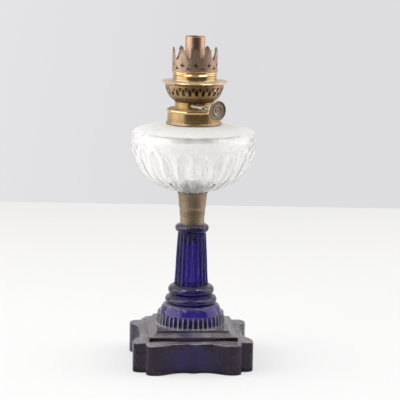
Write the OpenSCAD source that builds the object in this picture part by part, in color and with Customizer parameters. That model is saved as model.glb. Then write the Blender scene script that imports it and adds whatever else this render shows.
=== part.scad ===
// Kerosene table lamp: pressed glass foot, clear glass font, round-wick burner with a chimney crown.
// Units are millimetres, +Z is up, the origin is the middle of the foot's underside, -Y is the front.

/* [Foot] */
// Half width of the lobed plinth
foot_half = 73; // [70:0.5:76]
// Height of the plinth's wall
plinth_h = 36.6; // [32:0.2:38]
// Half width of the square step on the plinth
step_half = 53.5; // [52:0.5:55]
// Ribs round the band above the step
band_ribs = 42; // [40:1:44]
// Radius of the column where it starts
column_r = 20.6; // [20:0.1:21.4]
// Radius of the column where it ends
column_top_r = 17.1; // [16.8:0.1:17.6]
// Length of the column between its two rings
column_len = 65.8; // [60:0.2:72]
// Flutes round the column
column_flutes = 20; // [18:1:20]

/* [Connector] */
// Radius of the ferrule at its lower edge
ferrule_r = 14.6; // [14.2:0.1:15.2]
// Height of the ferrule
ferrule_h = 18.4; // [18:0.2:20]
// Height of the cup under the font
cup_h = 20.5; // [19.5:0.5:23]
// Radius of the cup's lip
cup_r = 18.1; // [17.6:0.1:18.6]

/* [Font] */
// Greatest radius of the glass font
font_r = 75.3; // [73.5:0.1:77]
// Thickness of the font's wall
glass_wall = 4.2; // [3.8:0.1:4.6]
// Flutes round the font
font_flutes = 24; // [22:1:26]
// Radius of the glass neck
neck_r = 30.3; // [30:0.1:30.6]
// Height of the neck above the font's shoulder
neck_h = 12.6; // [12:0.1:13]

/* [Collar] */
// Radius of the collar's wall
collar_r = 32.3; // [32.2:0.1:32.8]
// Height of the collar
collar_h = 18.2; // [18:0.1:20]
// Bore of the collar's inner tube
collar_bore = 26; // [25.8:0.1:26.2]

/* [Burner] */
// Radius of the drum
drum_r = 23.4; // [23.3:0.1:23.6]
// Height of the drum
drum_h = 8.6; // [8.5:0.1:9.2]
// Radius of the wick tube
tube_r = 11.9; // [11.8:0.05:12]
// Height of the wick tube above the drum
tube_rise = 78; // [74:0.5:84]
// Radius of the inner air tube
air_tube_r = 8.6; // [8.5:0.05:8.7]
// Thickness of the spun brass sheet
sheet = 0.6; // [0.5:0.05:0.7]

/* [Gallery] */
// Arches round the air basket
arches = 26; // [24:1:26]
// Radius of the basket's rim
basket_r = 35.2; // [34.6:0.1:35.8]
// Air holes in each row round the inner sleeve
sleeve_holes = 20; // [16:1:24]
// Radius of the flange
flange_r = 40; // [39.5:0.1:40.6]
// Outer radius of the crown's wall
crown_r = 27.2; // [27:0.1:27.4]
// Prongs of the crown
prongs = 10; // [9:1:10]
// Height of a prong above the notch beside it
prong_h = 15; // [14:0.5:17]
// Turn of the crown on its ledge
crown_turn = -2; // [-18:1:18]

/* [Winder] */
// Angle of the spindle from the front, towards +X
spindle_angle = 33; // [28:1:38]
// Distance of the spindle from the lamp's axis
spindle_off = 15; // [14.9:0.05:15.1]
// Distance of the knob's face along the spindle
knob_reach = 65.6; // [62:0.2:70]
// Radius of the knob
knob_r = 12.25; // [11.5:0.25:13]

/* [Wick] */
// Distance of the wick's top below the tube's rim
wick_drop = 3.5; // [2:0.5:6]

/* [Hidden] */
$fn = 96;
gap = 0.3;
fit = 0.05;
nick = 0.01;
glass_blue = [0.05, 0.05, 0.35, 0.9];
glass_clear = [0.9, 0.92, 0.88, 0.5];
brass = [0.72, 0.55, 0.28];
dull_brass = [0.5, 0.43, 0.33];
rosy_brass = [0.64, 0.48, 0.38];
plaster = [0.86, 0.84, 0.78];

// heights, each counted from the one below it
slope_h = 1.2;
z_step = plinth_h + slope_h;
z_band = z_step + 9.9;
z_dome = z_band + 14.1;
z_ring2 = z_dome + 15.8;
z_ring1 = z_dome + 27.9;
z_column = z_dome + 33.9;
z_column_top = z_column + column_len;
z_stem = z_column_top + 5;
z_ferrule = z_stem + 5.1;
z_web = z_ferrule + ferrule_h;
z_cup = z_web + fit;
z_font = z_cup + cup_h + gap;
z_shoulder = z_font + 83.4;
z_collar = z_shoulder + gap;
z_collar_top = z_collar + collar_h;
z_seat = z_collar_top - 1.6;
z_plate = z_seat + 1;
z_drum = z_plate + 1;
z_drum_top = z_drum + drum_h;
z_spindle = z_drum + 4.6;
z_basket = z_drum_top + gap;
z_gallery = z_basket + 20.8;
z_ledge = z_gallery + 15.1;
z_crown = z_ledge;
z_notch = z_crown + 13.8;
z_tube_top = z_drum_top + tube_rise;

// band and column
band_r = step_half * 0.787;

// connector
web = 0.9;
rivet_r = 3;
rivet_head_r = 5.6;
rivet_head = 1.4;
foot_peg_r = ferrule_r - 2.4;
foot_peg_top = z_web - web - rivet_head - 2;
font_peg_r = 12.6;
font_peg_low = z_cup + web + rivet_head + 2;

// font
k_font = font_r / 75.3;
neck_in = neck_r - 3;

// collar and burner fits
collar_wall = 0.8;
thread_r = collar_bore - gap;
thread_in = thread_r - 1.5;
plate_hole_r = tube_r + gap;
tube_wall = 0.5;
wick_out = tube_r - tube_wall - gap;
wick_in = air_tube_r + gap;
tube_low = z_plate - 12.4;

// gallery
sleeve_sheet = 0.5;

// winder
sprocket_r = 5.2;
sprocket_s = 4;
sprocket_t = 1;
pitch_reach = spindle_off - sprocket_r;
spindle_r = 1.5;
box_r = sprocket_r + 1.1;
box_half = 7;
sleeve_r = 2.4;
sleeve_end = 39;
knob_t = 4;

// air duct through the wick's open side
duct_half = 5;
duct_low = z_drum_top + 4;
duct_h = 12;
wick_slot_top = duct_low + duct_h + 17;

// ---- helpers ----
function spline_at(p, i, t) =
    let (a = p[max(i - 1, 0)], b = p[i], c = p[i + 1], d = p[min(i + 2, len(p) - 1)])
    0.5 * (2 * b + (c - a) * t + (2 * a - 5 * b + 4 * c - d) * t * t
        + (3 * b - a - 3 * c + d) * t * t * t);

function spline(p, n) = concat(
    [for (i = [0 : len(p) - 2]) for (k = [0 : n - 1]) spline_at(p, i, k / n)],
    [p[len(p) - 1]]);

function lifted(p, z) = [for (q = p) [q[0], q[1] + z]];

function left_of(v) = [-v[1], v[0]] / norm(v);

function heading(p, i) = p[min(i + 1, len(p) - 1)] - p[max(i - 1, 0)];

// a sheet of thickness w on the left of the line p
function skin(p, w) = concat(
    p,
    [for (i = [len(p) - 1 : -1 : 0]) p[i] + w * left_of(heading(p, i))]);

module turned(points) {
    rotate_extrude() polygon(points);
}

module tube(r_out, r_in, z0, z1) {
    turned([[r_in, z0], [r_out, z0], [r_out, z1], [r_in, z1]]);
}

module around(n, phase = 0) {
    for (i = [0 : n - 1]) rotate([0, 0, phase + i * 360 / n]) children();
}

// pushes a flat shape drawn in x and z out towards -Y
module pierce(r0, r1) {
    translate([0, -r0, 0]) rotate([90, 0, 0]) linear_extrude(r1 - r0) children();
}

// local +X runs along the spindle, local -Y points away from the lamp's axis
module at_spindle() {
    translate([0, 0, z_spindle]) rotate([0, 0, spindle_angle - 90])
        translate([0, -spindle_off, 0]) children();
}

module along(s0, s1) {
    translate([s0, 0, 0]) rotate([0, 90, 0]) linear_extrude(s1 - s0) children();
}

// concave flutes round a body: a row is [radius, height, share of the pitch cut, depth],
// and cols are the places across one flute, from -1 to 1
module fluted(n, rows, cols) {
    m = len(cols) + 1;
    count = n * m;
    last = len(rows) - 1;
    line = [for (v = rows) [v[0], v[1]]];
    function place(v, q, a) = [q[0] * cos(a), q[0] * sin(a), q[1]];
    body = [for (k = [0 : last]) let (v = rows[k], inward = left_of(heading(line, k)))
        for (i = [0 : n - 1]) for (j = [0 : m - 1])
            let (f = j == 0 ? 0 : cols[j - 1], cut = j == 0 ? 0 : v[3] * (1 - f * f),
                turn = j == 0 ? i : i + 0.5 + 0.5 * v[2] * f)
            place(v, line[k] + cut * inward, turn * 360 / n)];
    walls = [for (k = [0 : last - 1]) for (i = [0 : count - 1]) let (j = (i + 1) % count)
        for (f = [[k * count + i, (k + 1) * count + j, k * count + j],
            [k * count + i, (k + 1) * count + i, (k + 1) * count + j]]) f];
    tip = len(body);
    ends = [for (i = [0 : count - 1]) let (j = (i + 1) % count)
        for (f = [[tip, i, j], [tip + 1, last * count + j, last * count + i]]) f];
    polyhedron(concat(body, [[0, 0, rows[0][1]], [0, 0, rows[last][1]]]), concat(walls, ends));
}

// ---- glass foot ----
lobe_half = foot_half * 0.788;
lobe_corner = 9;
side_half = concat(
    spline([for (q = [[0, 0.886], [0.082, 0.855], [0.178, 0.8425], [0.288, 0.862],
        [0.397, 0.912], [0.507, 0.9725], [0.6, 1]]) q * foot_half], 3),
    [for (a = [75 : -15 : 0]) [lobe_half, foot_half] - lobe_corner * [1 - cos(a), 1 - sin(a)]]);
side = concat(
    [for (i = [len(side_half) - 1 : -1 : 1]) [-side_half[i][0], -side_half[i][1]]],
    [for (q = side_half) [q[0], -q[1]]],
    [[lobe_half, -lobe_half]]);
plan = [for (a = [0 : 90 : 270]) for (q = side)
    [q[0] * cos(a) - q[1] * sin(a), q[0] * sin(a) + q[1] * cos(a)]];

// rings of the plan at the heights and scales listed, closed to the middle at both ends
module loft(levels) {
    n = len(plan);
    last = len(levels) - 1;
    points = concat(
        [for (v = levels) for (q = plan) [q[0] * v[1], q[1] * v[1], v[0]]],
        [[0, 0, levels[0][0]], [0, 0, levels[last][0]]]);
    walls = [for (k = [0 : last - 1]) for (i = [0 : n - 1]) let (j = (i + 1) % n)
        for (f = [[k * n + i, (k + 1) * n + j, k * n + j], [k * n + i, (k + 1) * n + i, (k + 1) * n + j]])
            f];
    ends = [for (i = [0 : n - 1]) let (j = (i + 1) % n)
        for (f = [[(last + 1) * n, i, j], [(last + 1) * n + 1, last * n + j, last * n + i]]) f];
    polyhedron(points, concat(walls, ends));
}

module plinth() {
    linear_extrude(plinth_h - 1.8) polygon(plan);
    loft([[plinth_h - 6, 0.9995], [plinth_h - 1.8, 0.9995], [plinth_h - 1, 0.995],
        [plinth_h - 0.4, 0.986], [plinth_h, 0.972], [z_step - 0.4, 0.75]]);
}

step_top = step_half - 9.5;
step_face = [
    [-step_half, z_step - 3], [step_half, z_step - 3], [step_half, z_step + 4],
    [step_half - 4.2, z_step + 5], [step_half - 7.4, z_step + 6.6], [step_top, z_step + 8],
    [step_top, z_band], [-step_top, z_band], [-step_top, z_step + 8],
    [-step_half + 7.4, z_step + 6.6], [-step_half + 4.2, z_step + 5], [-step_half, z_step + 4]];

module step_slab() {
    rotate([90, 0, 0]) linear_extrude(2 * step_half, center = true) polygon(step_face);
}

module square_step() {
    intersection() {
        step_slab();
        rotate([0, 0, 90]) step_slab();
    }
}

module ribbed_band() {
    rows = [for (q = [[-1, 0.9], [10.6, 0.9], [11.8, 0.83], [12.8, 0.65], [13.4, 0.4],
        [13.7, 0.12], [14.1, 0.05]])
        [band_r - 1.5 * max(q[0], 0) / 14.1, z_band + q[0], q[1], 1.2 * q[1] * q[1]]];
    rotate([0, 0, -90]) fluted(band_ribs, rows, [-1, -0.4, 0.4, 1]);
}

module dome_and_rings() {
    rotate_extrude() {
        polygon(lifted([[0, -1], [38.4, -1], [38.2, 0.2], [37.6, 2], [37, 3.9], [36, 6.4],
            [34.4, 8.9], [31.4, 10.8], [27, 11.6], [26.6, 13], [26.6, 21.6], [24.6, 22.4],
            [24, 26], [24, 30], [22.4, 33.2], [21.2, 34.2], [0, 34.2]], z_dome));
        translate([26.8, z_ring2]) circle(5);
        translate([22.7, z_ring1]) circle(5.6);
    }
}

module column() {
    flute_len = column_len + 4;
    start = column_r + 2;
    lean = atan((column_r - column_top_r - 0.5) / column_len);
    difference() {
        turned(concat(
            [[0, z_column - 4], [column_r, z_column - 4], [column_r + 0.5, z_column]],
            spline([[column_r + 0.4, z_column + 0.6], [column_r - 0.1, z_column + 5],
                [column_r - 0.9, z_column + 17.3], [column_r - 1.4, z_column + column_len * 0.46],
                [column_top_r + 1.5, z_column + column_len * 0.64],
                [column_top_r + 0.7, z_column + column_len * 0.84],
                [column_top_r, z_column_top]], 2),
            [[column_top_r, z_stem], [0, z_stem]]));
        around(column_flutes, 180 / column_flutes) translate([0, -start, z_column - 1])
            rotate([-lean, 0, 0]) cylinder(h = flute_len, r = 3.6);
    }
}

module stem_ring() {
    rotate_extrude() {
        polygon([[0, z_column_top], [16, z_column_top], [16, z_stem + 4.9], [0, z_stem + 4.9]]);
        translate([15.8, z_stem]) circle(4.9);
    }
}

module foot_peg() {
    turned([[0, z_stem], [foot_peg_r, z_stem], [foot_peg_r, foot_peg_top - 1],
        [foot_peg_r - 1, foot_peg_top], [0, foot_peg_top]]);
}

hollow_half = lobe_half - 9.5;
module foot_hollow() {
    translate([0, 0, -1]) linear_extrude(27) intersection() {
        square(2 * hollow_half, center = true);
        circle(hollow_half * 1.28);
    }
    turned([[0, 20], [hollow_half - 8, 20], [hollow_half - 10, 28], [34, z_band - 8],
        [32, z_dome - 4], [28, z_dome + 4], [18, z_dome + 12], [13, z_column - 4],
        [8, z_column + column_len * 0.8], [5, z_column + column_len * 0.86],
        [0, z_column + column_len * 0.88]]);
}

module glass_foot() {
    color(glass_blue) difference() {
        union() {
            plinth();
            square_step();
            ribbed_band();
            dome_and_rings();
            column();
            stem_ring();
            foot_peg();
        }
        foot_hollow();
    }
}

// ---- connector ----
module foot_plaster() {
    outer = ferrule_r - web - 0.1;
    color(plaster) turned([
        [foot_peg_r + 0.1, z_ferrule + 0.5], [outer, z_ferrule + 0.5],
        [outer, z_web - web - 0.1], [rivet_head_r + 0.1, z_web - web - 0.1],
        [rivet_head_r + 0.1, z_web - web - rivet_head - 0.1],
        [0, z_web - web - rivet_head - 0.1], [0, foot_peg_top + 0.1],
        [foot_peg_r + 0.1, foot_peg_top + 0.1]]);
}

module stem_ferrule() {
    line = lifted([[ferrule_r, 0], [ferrule_r + 0.1, 2], [ferrule_r + 0.25, 8],
        [ferrule_r + 0.3, 10.6], [ferrule_r + 0.9, 11.2], [ferrule_r + 0.9, 11.8],
        [ferrule_r + 0.3, 12.4], [ferrule_r + 0.3, 13], [ferrule_r + 1, 13.6],
        [ferrule_r + 1, 14.2], [ferrule_r + 0.4, 14.8], [ferrule_r + 0.4, 15.6],
        [ferrule_r + 1.2, 16.2], [ferrule_r + 1.2, 17], [ferrule_r + 0.8, 17.5]], z_ferrule);
    color(dull_brass) turned(concat(line, [[ferrule_r + 0.8, z_web], [rivet_r + fit, z_web],
        [rivet_r + fit, z_web - web], [ferrule_r - web, z_web - web],
        [ferrule_r - web, z_ferrule]]));
}

module connector_rivet() {
    low = z_web - web;
    high = z_cup + web;
    color(dull_brass) turned([[0, low - rivet_head], [rivet_head_r - 0.5, low - rivet_head],
        [rivet_head_r, low - 0.4], [rivet_head_r, low], [rivet_r, low], [rivet_r, high],
        [rivet_head_r, high], [rivet_head_r, high + 0.4],
        [rivet_head_r - 0.5, high + rivet_head], [0, high + rivet_head]]);
}

cup_line = [[ferrule_r + 0.9, z_cup], [ferrule_r + 1.8, z_cup + 3], [ferrule_r + 2, z_cup + 7],
    [cup_r - 1.3, z_cup + cup_h * 0.55], [cup_r - 0.7, z_cup + cup_h * 0.8],
    [cup_r - 0.2, z_cup + cup_h - 1.2], [cup_r + 0.3, z_cup + cup_h - 0.6],
    [cup_r + 0.3, z_cup + cup_h]];

module font_cup() {
    top = z_cup + cup_h;
    inner = [for (i = [len(cup_line) - 1 : -1 : 1]) cup_line[i] - [web + 0.2, 0]];
    color(dull_brass) turned(concat([[rivet_r + fit, z_cup]], cup_line, inner,
        [[ferrule_r, z_cup + web], [rivet_r + fit, z_cup + web]]));
}

module font_plaster() {
    floor_z = z_cup + web + 0.1;
    head_z = floor_z + rivet_head;
    color(plaster) turned([[rivet_head_r + 0.1, floor_z], [ferrule_r - 0.4, floor_z],
        [ferrule_r + 0.3, z_cup + 3], [ferrule_r + 0.5, z_cup + 7],
        [cup_r - 2.6, z_cup + cup_h * 0.55], [cup_r - 2, z_cup + cup_h * 0.8],
        [cup_r - 1.7, z_cup + cup_h - 2], [font_peg_r + 0.1, z_cup + cup_h - 2],
        [font_peg_r + 0.1, font_peg_low - 0.1], [0, font_peg_low - 0.1],
        [0, head_z], [rivet_head_r + 0.1, head_z]]);
}

// ---- font ----
bowl_line = spline([[17.2, 1.7], [28, 3.4], [39.9, 7.9], [49.5, 12.9], [57.6, 19], [65.8, 30.3],
    [70.4, 39.8], [73.1, 48]], 2);
bowl_rows = concat(
    [for (q = bowl_line) [q[0], q[1], 0.96, 0.03 * q[0]]],
    [for (t = [0.25, 0.47, 0.66, 0.81, 0.92, 0.98, 1]) let (w = sqrt(1.003 - t * t))
        [75.1 - 2 * (1 - t) * (1 - t), 48 + 10.5 * t, 0.96 * w, 2.2 * w * w]],
    [[74.6, 60.2, 0.05, 0.001]]);
shoulder_line = spline([[75.15, 58.8], [75.3, 62.8], [75.1, 69.4], [73.6, 73.6], [70.2, 76.3],
    [63, 78.2], [52, 80.7], [neck_r / k_font + 3.2, 83.4]], 3);
hollow_line = spline([[0, 9.4], [18, 9.8], [34, 13], [46, 18], [54.4, 25], [62, 37.5],
    [67.4, 50], [70, 62], [69.6, 67.4], [67.4, 70.6], [62, 72.4], [50, 74.6],
    [38, 76.6], [30.5, 79]], 3);

module font_bowl() {
    translate([0, 0, z_font]) {
        rotate([0, 0, -95]) fluted(font_flutes, [for (v = bowl_rows)
            [v[0] * k_font, v[1], v[2], v[3]]], [-1, -0.6, -0.2, 0.2, 0.6, 1]);
        turned(concat([[0, 58.8]], [for (q = shoulder_line) [q[0] * k_font + 0.02, q[1]]],
            [[0, 83.4]]));
    }
}

module glass_font() {
    thin = glass_wall - 4.2;
    color(glass_clear) difference() {
        union() {
            font_bowl();
            turned([[0, font_peg_low], [font_peg_r - 1, font_peg_low],
                [font_peg_r, font_peg_low + 1], [font_peg_r, z_font + 4], [0, z_font + 4]]);
            turned([[0, z_shoulder - 3], [neck_r + 1.4, z_shoulder - 3], [neck_r + 1.2, z_shoulder],
                [neck_r, z_shoulder + 0.8], [neck_r, z_shoulder + neck_h - 0.6],
                [neck_r - 0.6, z_shoulder + neck_h], [0, z_shoulder + neck_h]]);
        }
        translate([0, 0, z_font]) turned(concat(
            [for (q = hollow_line) [max(0, q[0] * k_font - thin), q[1]]],
            [[neck_in, 83.4], [neck_in, 120], [0, 120]]));
    }
}

// ---- collar ----
module collar_plaster() {
    low = z_collar + 1.5;
    high = z_shoulder + neck_h + 0.1;
    top = z_seat - collar_wall - 0.1;
    out = collar_r - collar_wall - 0.1;
    color(plaster) turned([[neck_r + 0.1, low], [out, low], [out, top],
        [collar_bore + collar_wall + 0.1, top], [collar_bore + collar_wall + 0.1, high],
        [neck_r + 0.1, high]]);
}

module font_collar() {
    low = z_collar;
    top = z_collar_top;
    color(brass) turned(concat(
        [[collar_r + 0.5, low], [collar_r + 1.5, low + 0.6], [collar_r + 1.7, low + 1.3],
            [collar_r + 1.4, low + 2.1], [collar_r + 0.1, low + 2.8], [collar_r, low + 4],
            [collar_r, top - 3.7], [collar_r + 0.7, top - 2.8], [collar_r + 1.2, top - 1.7],
            [collar_r + 0.8, top - 0.6], [collar_r - 0.1, top], [collar_r - 0.8, top - 0.4],
            [collar_r - 0.8, z_seat], [collar_bore, z_seat], [collar_bore, low + 3]],
        [[collar_bore + 0.8, low + 3], [collar_bore + 0.8, z_seat - collar_wall],
            [collar_r - 0.8, z_seat - collar_wall], [collar_r - 0.8, low + 0.6]]));
}

// ---- burner body ----
module burner_washer() {
    color([0.35, 0.25, 0.17]) tube(collar_r - 1.4, collar_bore + 0.4, z_seat + fit, z_plate - fit);
}

module thread_ring() {
    low = z_plate - 11;
    ridges = [for (i = [0 : 4]) for (q = [[0, 0], [0.5, 0.5], [0.5, 0.9], [0, 1.4]])
        [thread_r - 0.5 + q[0], low + 1 + 1.8 * i + q[1]]];
    color(brass) turned(concat([[thread_in, low], [thread_r - 0.5, low]], ridges,
        [[thread_r - 0.5, z_plate - fit], [thread_in, z_plate - fit]]));
}

module base_plate() {
    color(brass) difference() {
        tube(collar_r - 1.2, plate_hole_r, z_plate, z_drum - fit);
        at_spindle() along(-box_half - gap, box_half + gap) circle(box_r + gap);
        around(12, 15) translate([0, -28, z_plate - 1]) cylinder(h = 4, r = 0.9);
    }
}

module burner_drum() {
    top = z_drum_top;
    line = [[drum_r + 0.5, z_drum], [drum_r + 0.5, z_drum + 0.6], [drum_r, z_drum + 1.1],
        [drum_r, top - 1.6], [drum_r + 0.5, top - 1.1], [drum_r + 0.5, top - 0.4],
        [drum_r + 0.1, top]];
    color(brass) difference() {
        turned(concat(line, [[drum_r - sheet, top], [drum_r - sheet, z_drum]]));
        at_spindle() along(10, 26) circle(sleeve_r + 0.05);
    }
}

module winder_box() {
    color(dull_brass) at_spindle() difference() {
        along(-box_half, box_half) circle(box_r);
        along(-box_half + sheet, box_half - sheet) circle(box_r - sheet);
        along(-box_half - 1, box_half + 1) circle(spindle_r + fit);
        translate([-20, spindle_off - tube_r - 0.6, -10]) cube([40, 20, 20]);
    }
}

module spindle_sleeve() {
    color(brass) at_spindle() rotate([0, 90, 0]) turned([[spindle_r + gap, box_half + gap],
        [sleeve_r, box_half + gap], [sleeve_r, sleeve_end - 3], [sleeve_r + 0.7, sleeve_end - 2.4],
        [sleeve_r + 0.7, sleeve_end - 0.4], [sleeve_r + 0.3, sleeve_end],
        [spindle_r + gap, sleeve_end]]);
}

module wheel_paths(reach, low, high) {
    for (side_s = [-1, 1]) rotate([0, 0, spindle_angle - 90])
        translate([side_s * sprocket_s - sprocket_t / 2 - gap, -reach - 20, low])
        cube([sprocket_t + 2 * gap, 20, high - low]);
}

module duct_window(half, low, high) {
    translate([-half, 0, low]) cube([2 * half, tube_r + 5, high - low]);
}

module outer_wick_tube() {
    color(rosy_brass) difference() {
        turned([[tube_r - tube_wall, tube_low], [tube_r, tube_low], [tube_r, z_tube_top - 0.3],
            [tube_r - 0.15, z_tube_top], [tube_r - tube_wall, z_tube_top]]);
        wheel_paths(pitch_reach - 3, z_spindle - box_r, z_spindle + box_r);
        duct_window(duct_half, duct_low, duct_low + duct_h);
    }
}

module inner_air_tube() {
    top = z_tube_top - 1;
    low = duct_low - 1.2;
    wall = 0.4;
    color(rosy_brass) difference() {
        union() {
            turned([[0, low], [air_tube_r, low], [air_tube_r, top], [0, top]]);
            intersection() {
                duct_window(duct_half + 0.5, duct_low - 0.5, duct_low + duct_h + 0.5);
                turned([[0, low], [tube_r - tube_wall - 0.05, low],
                    [tube_r - tube_wall - 0.05, top], [0, top]]);
            }
        }
        turned([[0, duct_low], [air_tube_r - wall, duct_low], [air_tube_r - wall, top + 1],
            [0, top + 1]]);
        duct_window(duct_half, duct_low, duct_low + duct_h);
    }
}

// ---- winder ----
module spindle() {
    color(dull_brass) at_spindle() along(-box_half - 1, knob_reach - 2.4) circle(spindle_r);
}

module sprocket() {
    teeth = 12;
    star = [for (i = [0 : teeth - 1]) for (q = [[-9, 4.1], [-3, sprocket_r], [3, sprocket_r], [9, 4.1]])
        q[1] * [cos(i * 30 + q[0]), sin(i * 30 + q[0])]];
    polygon(star);
}

module wick_wheels() {
    color(brass) at_spindle() difference() {
        union() {
            for (s = [-sprocket_s, sprocket_s])
                along(s - sprocket_t / 2, s + sprocket_t / 2) sprocket();
            along(-sprocket_s, sprocket_s) circle(2.3);
        }
        along(-20, 20) circle(spindle_r + nick);
    }
}

module winder_knob() {
    face = knob_reach;
    back = face - knob_t;
    rim = knob_r - 0.9;
    color(brass) at_spindle() difference() {
        union() {
            rotate([0, 90, 0]) turned([[0, back - 3], [2.6, back - 3], [3.2, back - 2.4],
                [3.4, back], [rim, back + 0.4], [knob_r, back + 1], [knob_r, face - 0.9],
                [rim, face], [rim - 0.9, face - 0.4], [rim - 1.4, face - 1.3],
                [7.2, face - 1.6], [6.9, face - 0.8], [6.3, face - 0.7], [5.9, face - 1.6],
                [3, face - 1.9], [2.7, face - 1.2], [0, face - 1.2]]);
            for (i = [0 : 15]) rotate([i * 22.5, 0, 0])
                translate([back + 1.5, -0.45, 7.9]) cube([knob_t - 2.6, 0.9, rim - 9.8]);
        }
        along(back - 4, face - 2.4 + fit) circle(spindle_r + nick);
        translate([face - 2.2, -1.1, -1.1]) cube([3, 2.2, 2.2]);
    }
}

// ---- wick ----
module wick() {
    top = z_tube_top - wick_drop;
    low = tube_low - 4;
    slot = duct_half + 1;
    color([0.88, 0.84, 0.74]) difference() {
        tube(wick_out, wick_in, low, top);
        translate([-slot, 0, low - 1]) cube([2 * slot, 30, wick_slot_top - low + 1]);
        wheel_paths(pitch_reach - gap, low - 1, z_spindle + box_r + 18);
    }
}

// ---- gallery ----
basket_line = spline([[23.9, 0.4], [27.6, 3.1], [30.4, 5.8], [32.2, 9.4], [34, 13.4],
    [basket_r - 0.2, 17], [basket_r, 20.4]], 3);

module loop_holes() {
    pitch = 2 * PI * basket_r / arches;
    half = pitch * 0.29;
    polygon([for (a = [0 : 20 : 180]) [half * cos(a) * (1 - 0.25 * sin(a)), 4.1 - 2.4 + 6.4 * sin(a)]]);
}

module basket_cutters() {
    pitch = 2 * PI * basket_r / arches;
    low = z_basket + 8.6;
    high = z_basket + 18.6;
    half = pitch * 0.27;
    around(arches) pierce(24, 40) polygon(concat(
        [for (a = [180 : 30 : 360]) [half * 0.8 * cos(a), low + 1.6 + 1.6 * sin(a)]],
        [[half, low + 4], [half * 0.9, low + 6], [0, high - 1], [-half * 0.9, low + 6],
            [-half, low + 4]]));
    around(arches, 180 / arches) pierce(24, 40) polygon([[0, low + 4.6], [pitch * 0.13, low + 6.2],
        [pitch * 0.29, high], [-pitch * 0.29, high], [-pitch * 0.13, low + 6.2]]);
    around(2 * arches, 90 / arches) pierce(20, 40)
        translate([0, z_basket + 4.8]) circle(0.75);
}

module air_basket() {
    line = lifted(basket_line, z_basket);
    color(brass) difference() {
        turned(concat([[drum_r - 1.8, z_basket], [23.9, z_basket]], line,
            [for (i = [len(line) - 1 : -1 : 2]) line[i] + sheet * left_of(heading(line, i))],
            [[23.9, z_basket + sheet], [drum_r - 1.8, z_basket + sheet]]));
        basket_cutters();
    }
}

module draught_sleeve() {
    low = z_basket + 1.7;
    high = z_ledge - 0.7 - fit;
    inner = crown_r - 3.2 - sleeve_sheet / 2;
    color(brass) difference() {
        tube(inner + sleeve_sheet, inner, low, high);
        for (row = [0 : 2]) around(sleeve_holes, row % 2 * 180 / sleeve_holes)
            translate([0, 0, z_basket + 6.4 + 3.6 * row]) rotate([90, 0, 0])
            translate([0, 0, inner - 3]) cylinder(h = 8, r = 0.9);
    }
}

module gallery_clips() {
    out = drum_r - sheet - gap;
    color(dull_brass) around(3, spindle_angle) intersection() {
        turned([[out - 0.6, z_drum + 2], [out, z_drum + 3], [out, z_basket - fit],
            [out - 0.6, z_basket - fit]]);
        translate([-3, 0, z_drum]) cube([6, 30, 20]);
    }
}

module gallery_dish() {
    neck = crown_r - 0.7;
    base = z_gallery;
    top = lifted([[flange_r, 2.9], [flange_r - 0.3, 3.3], [flange_r - 1.1, 3.6], [neck + 3.5, 3.6],
        [neck + 1.6, 4], [neck + 0.5, 4.9], [neck, 6.1], [neck, 10.2], [neck + 0.5, 10.9],
        [neck + 0.9, 11.6], [neck + 0.4, 12.3], [neck + 0.1, 12.8], [neck + 0.5, 13.3],
        [neck + 0.7, 13.8], [neck + 0.4, 14.4], [neck + 0.4, 14.9]], base);
    skirt = lifted([[basket_r - 1, 0], [basket_r + 0.5, 0], [basket_r + 1.4, 0.5],
        [flange_r - 0.6, 2.3], [flange_r - 0.1, 3]], base);
    color(brass) difference() {
        union() {
            turned(skin(top, 0.7));
            turned(skin(skirt, 0.6));
            turned([[crown_r - 3.2, z_ledge - 0.7], [neck + 0.4, z_ledge - 0.7],
                [neck + 0.4, z_ledge - 0.2], [crown_r - 0.8, z_ledge - 0.2],
                [crown_r - 0.8, z_ledge], [crown_r - 3.2, z_ledge]]);
        }
        tube(60, flange_r, base - 5, base + 9);
    }
}

module crown_notch() {
    h = prong_h / 15;
    edge = [[0, 0], [2.9, 3], [4.1, 6], [5.1, 9], [5.5, 10.5], [4.9, 11.2], [5.2, 12.3],
        [6.3, 13.5], [8.2, 15]];
    wide = 10 / prongs;
    polygon(concat(
        [for (q = edge) [q[0] * wide, z_notch + q[1] * h]],
        [[8.7 * wide, z_notch + 16 * h], [-8.7 * wide, z_notch + 16 * h]],
        [for (i = [len(edge) - 1 : -1 : 1]) [-edge[i][0] * wide, z_notch + edge[i][1] * h]]));
}

module crown_cross() {
    z = z_notch - 5;
    polygon([for (q = [[0, 4], [0.8, 1.5], [1.6, 1.1], [3.3, 0], [1.6, -1.2], [0.95, -1.7],
        [0, -3.8], [-0.95, -1.7], [-1.6, -1.2], [-3.3, 0], [-1.6, 1.1], [-0.8, 1.5]])
        [q[0], z + q[1]]]);
}

module crown_trefoil() {
    polygon([for (q = [[0, 3.4], [1, 1.3], [1.2, 0.3], [2.4, -0.1], [3.1, -1.3], [2.2, -2.1],
        [0.7, -1.6], [-0.7, -1.6], [-2.2, -2.1], [-3.1, -1.3], [-2.4, -0.1], [-1.2, 0.3],
        [-1, 1.3]]) [q[0], z_notch - 8.4 + q[1]]]);
}

module chimney_crown() {
    color(rosy_brass) rotate([0, 0, crown_turn]) difference() {
        turned([[crown_r - 0.5, z_crown], [crown_r + 0.4, z_crown], [crown_r + 0.5, z_crown + 0.6],
            [crown_r + 0.3, z_crown + 1.1], [crown_r, z_crown + 1.4],
            [crown_r, z_notch + prong_h - 0.1], [crown_r - 0.5, z_notch + prong_h - 0.1]]);
        around(prongs, 180 / prongs) pierce(20, 34) crown_notch();
        around(prongs) pierce(20, 34) crown_cross();
        around(prongs, 180 / prongs) pierce(20, 34) crown_trefoil();
    }
}

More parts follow.
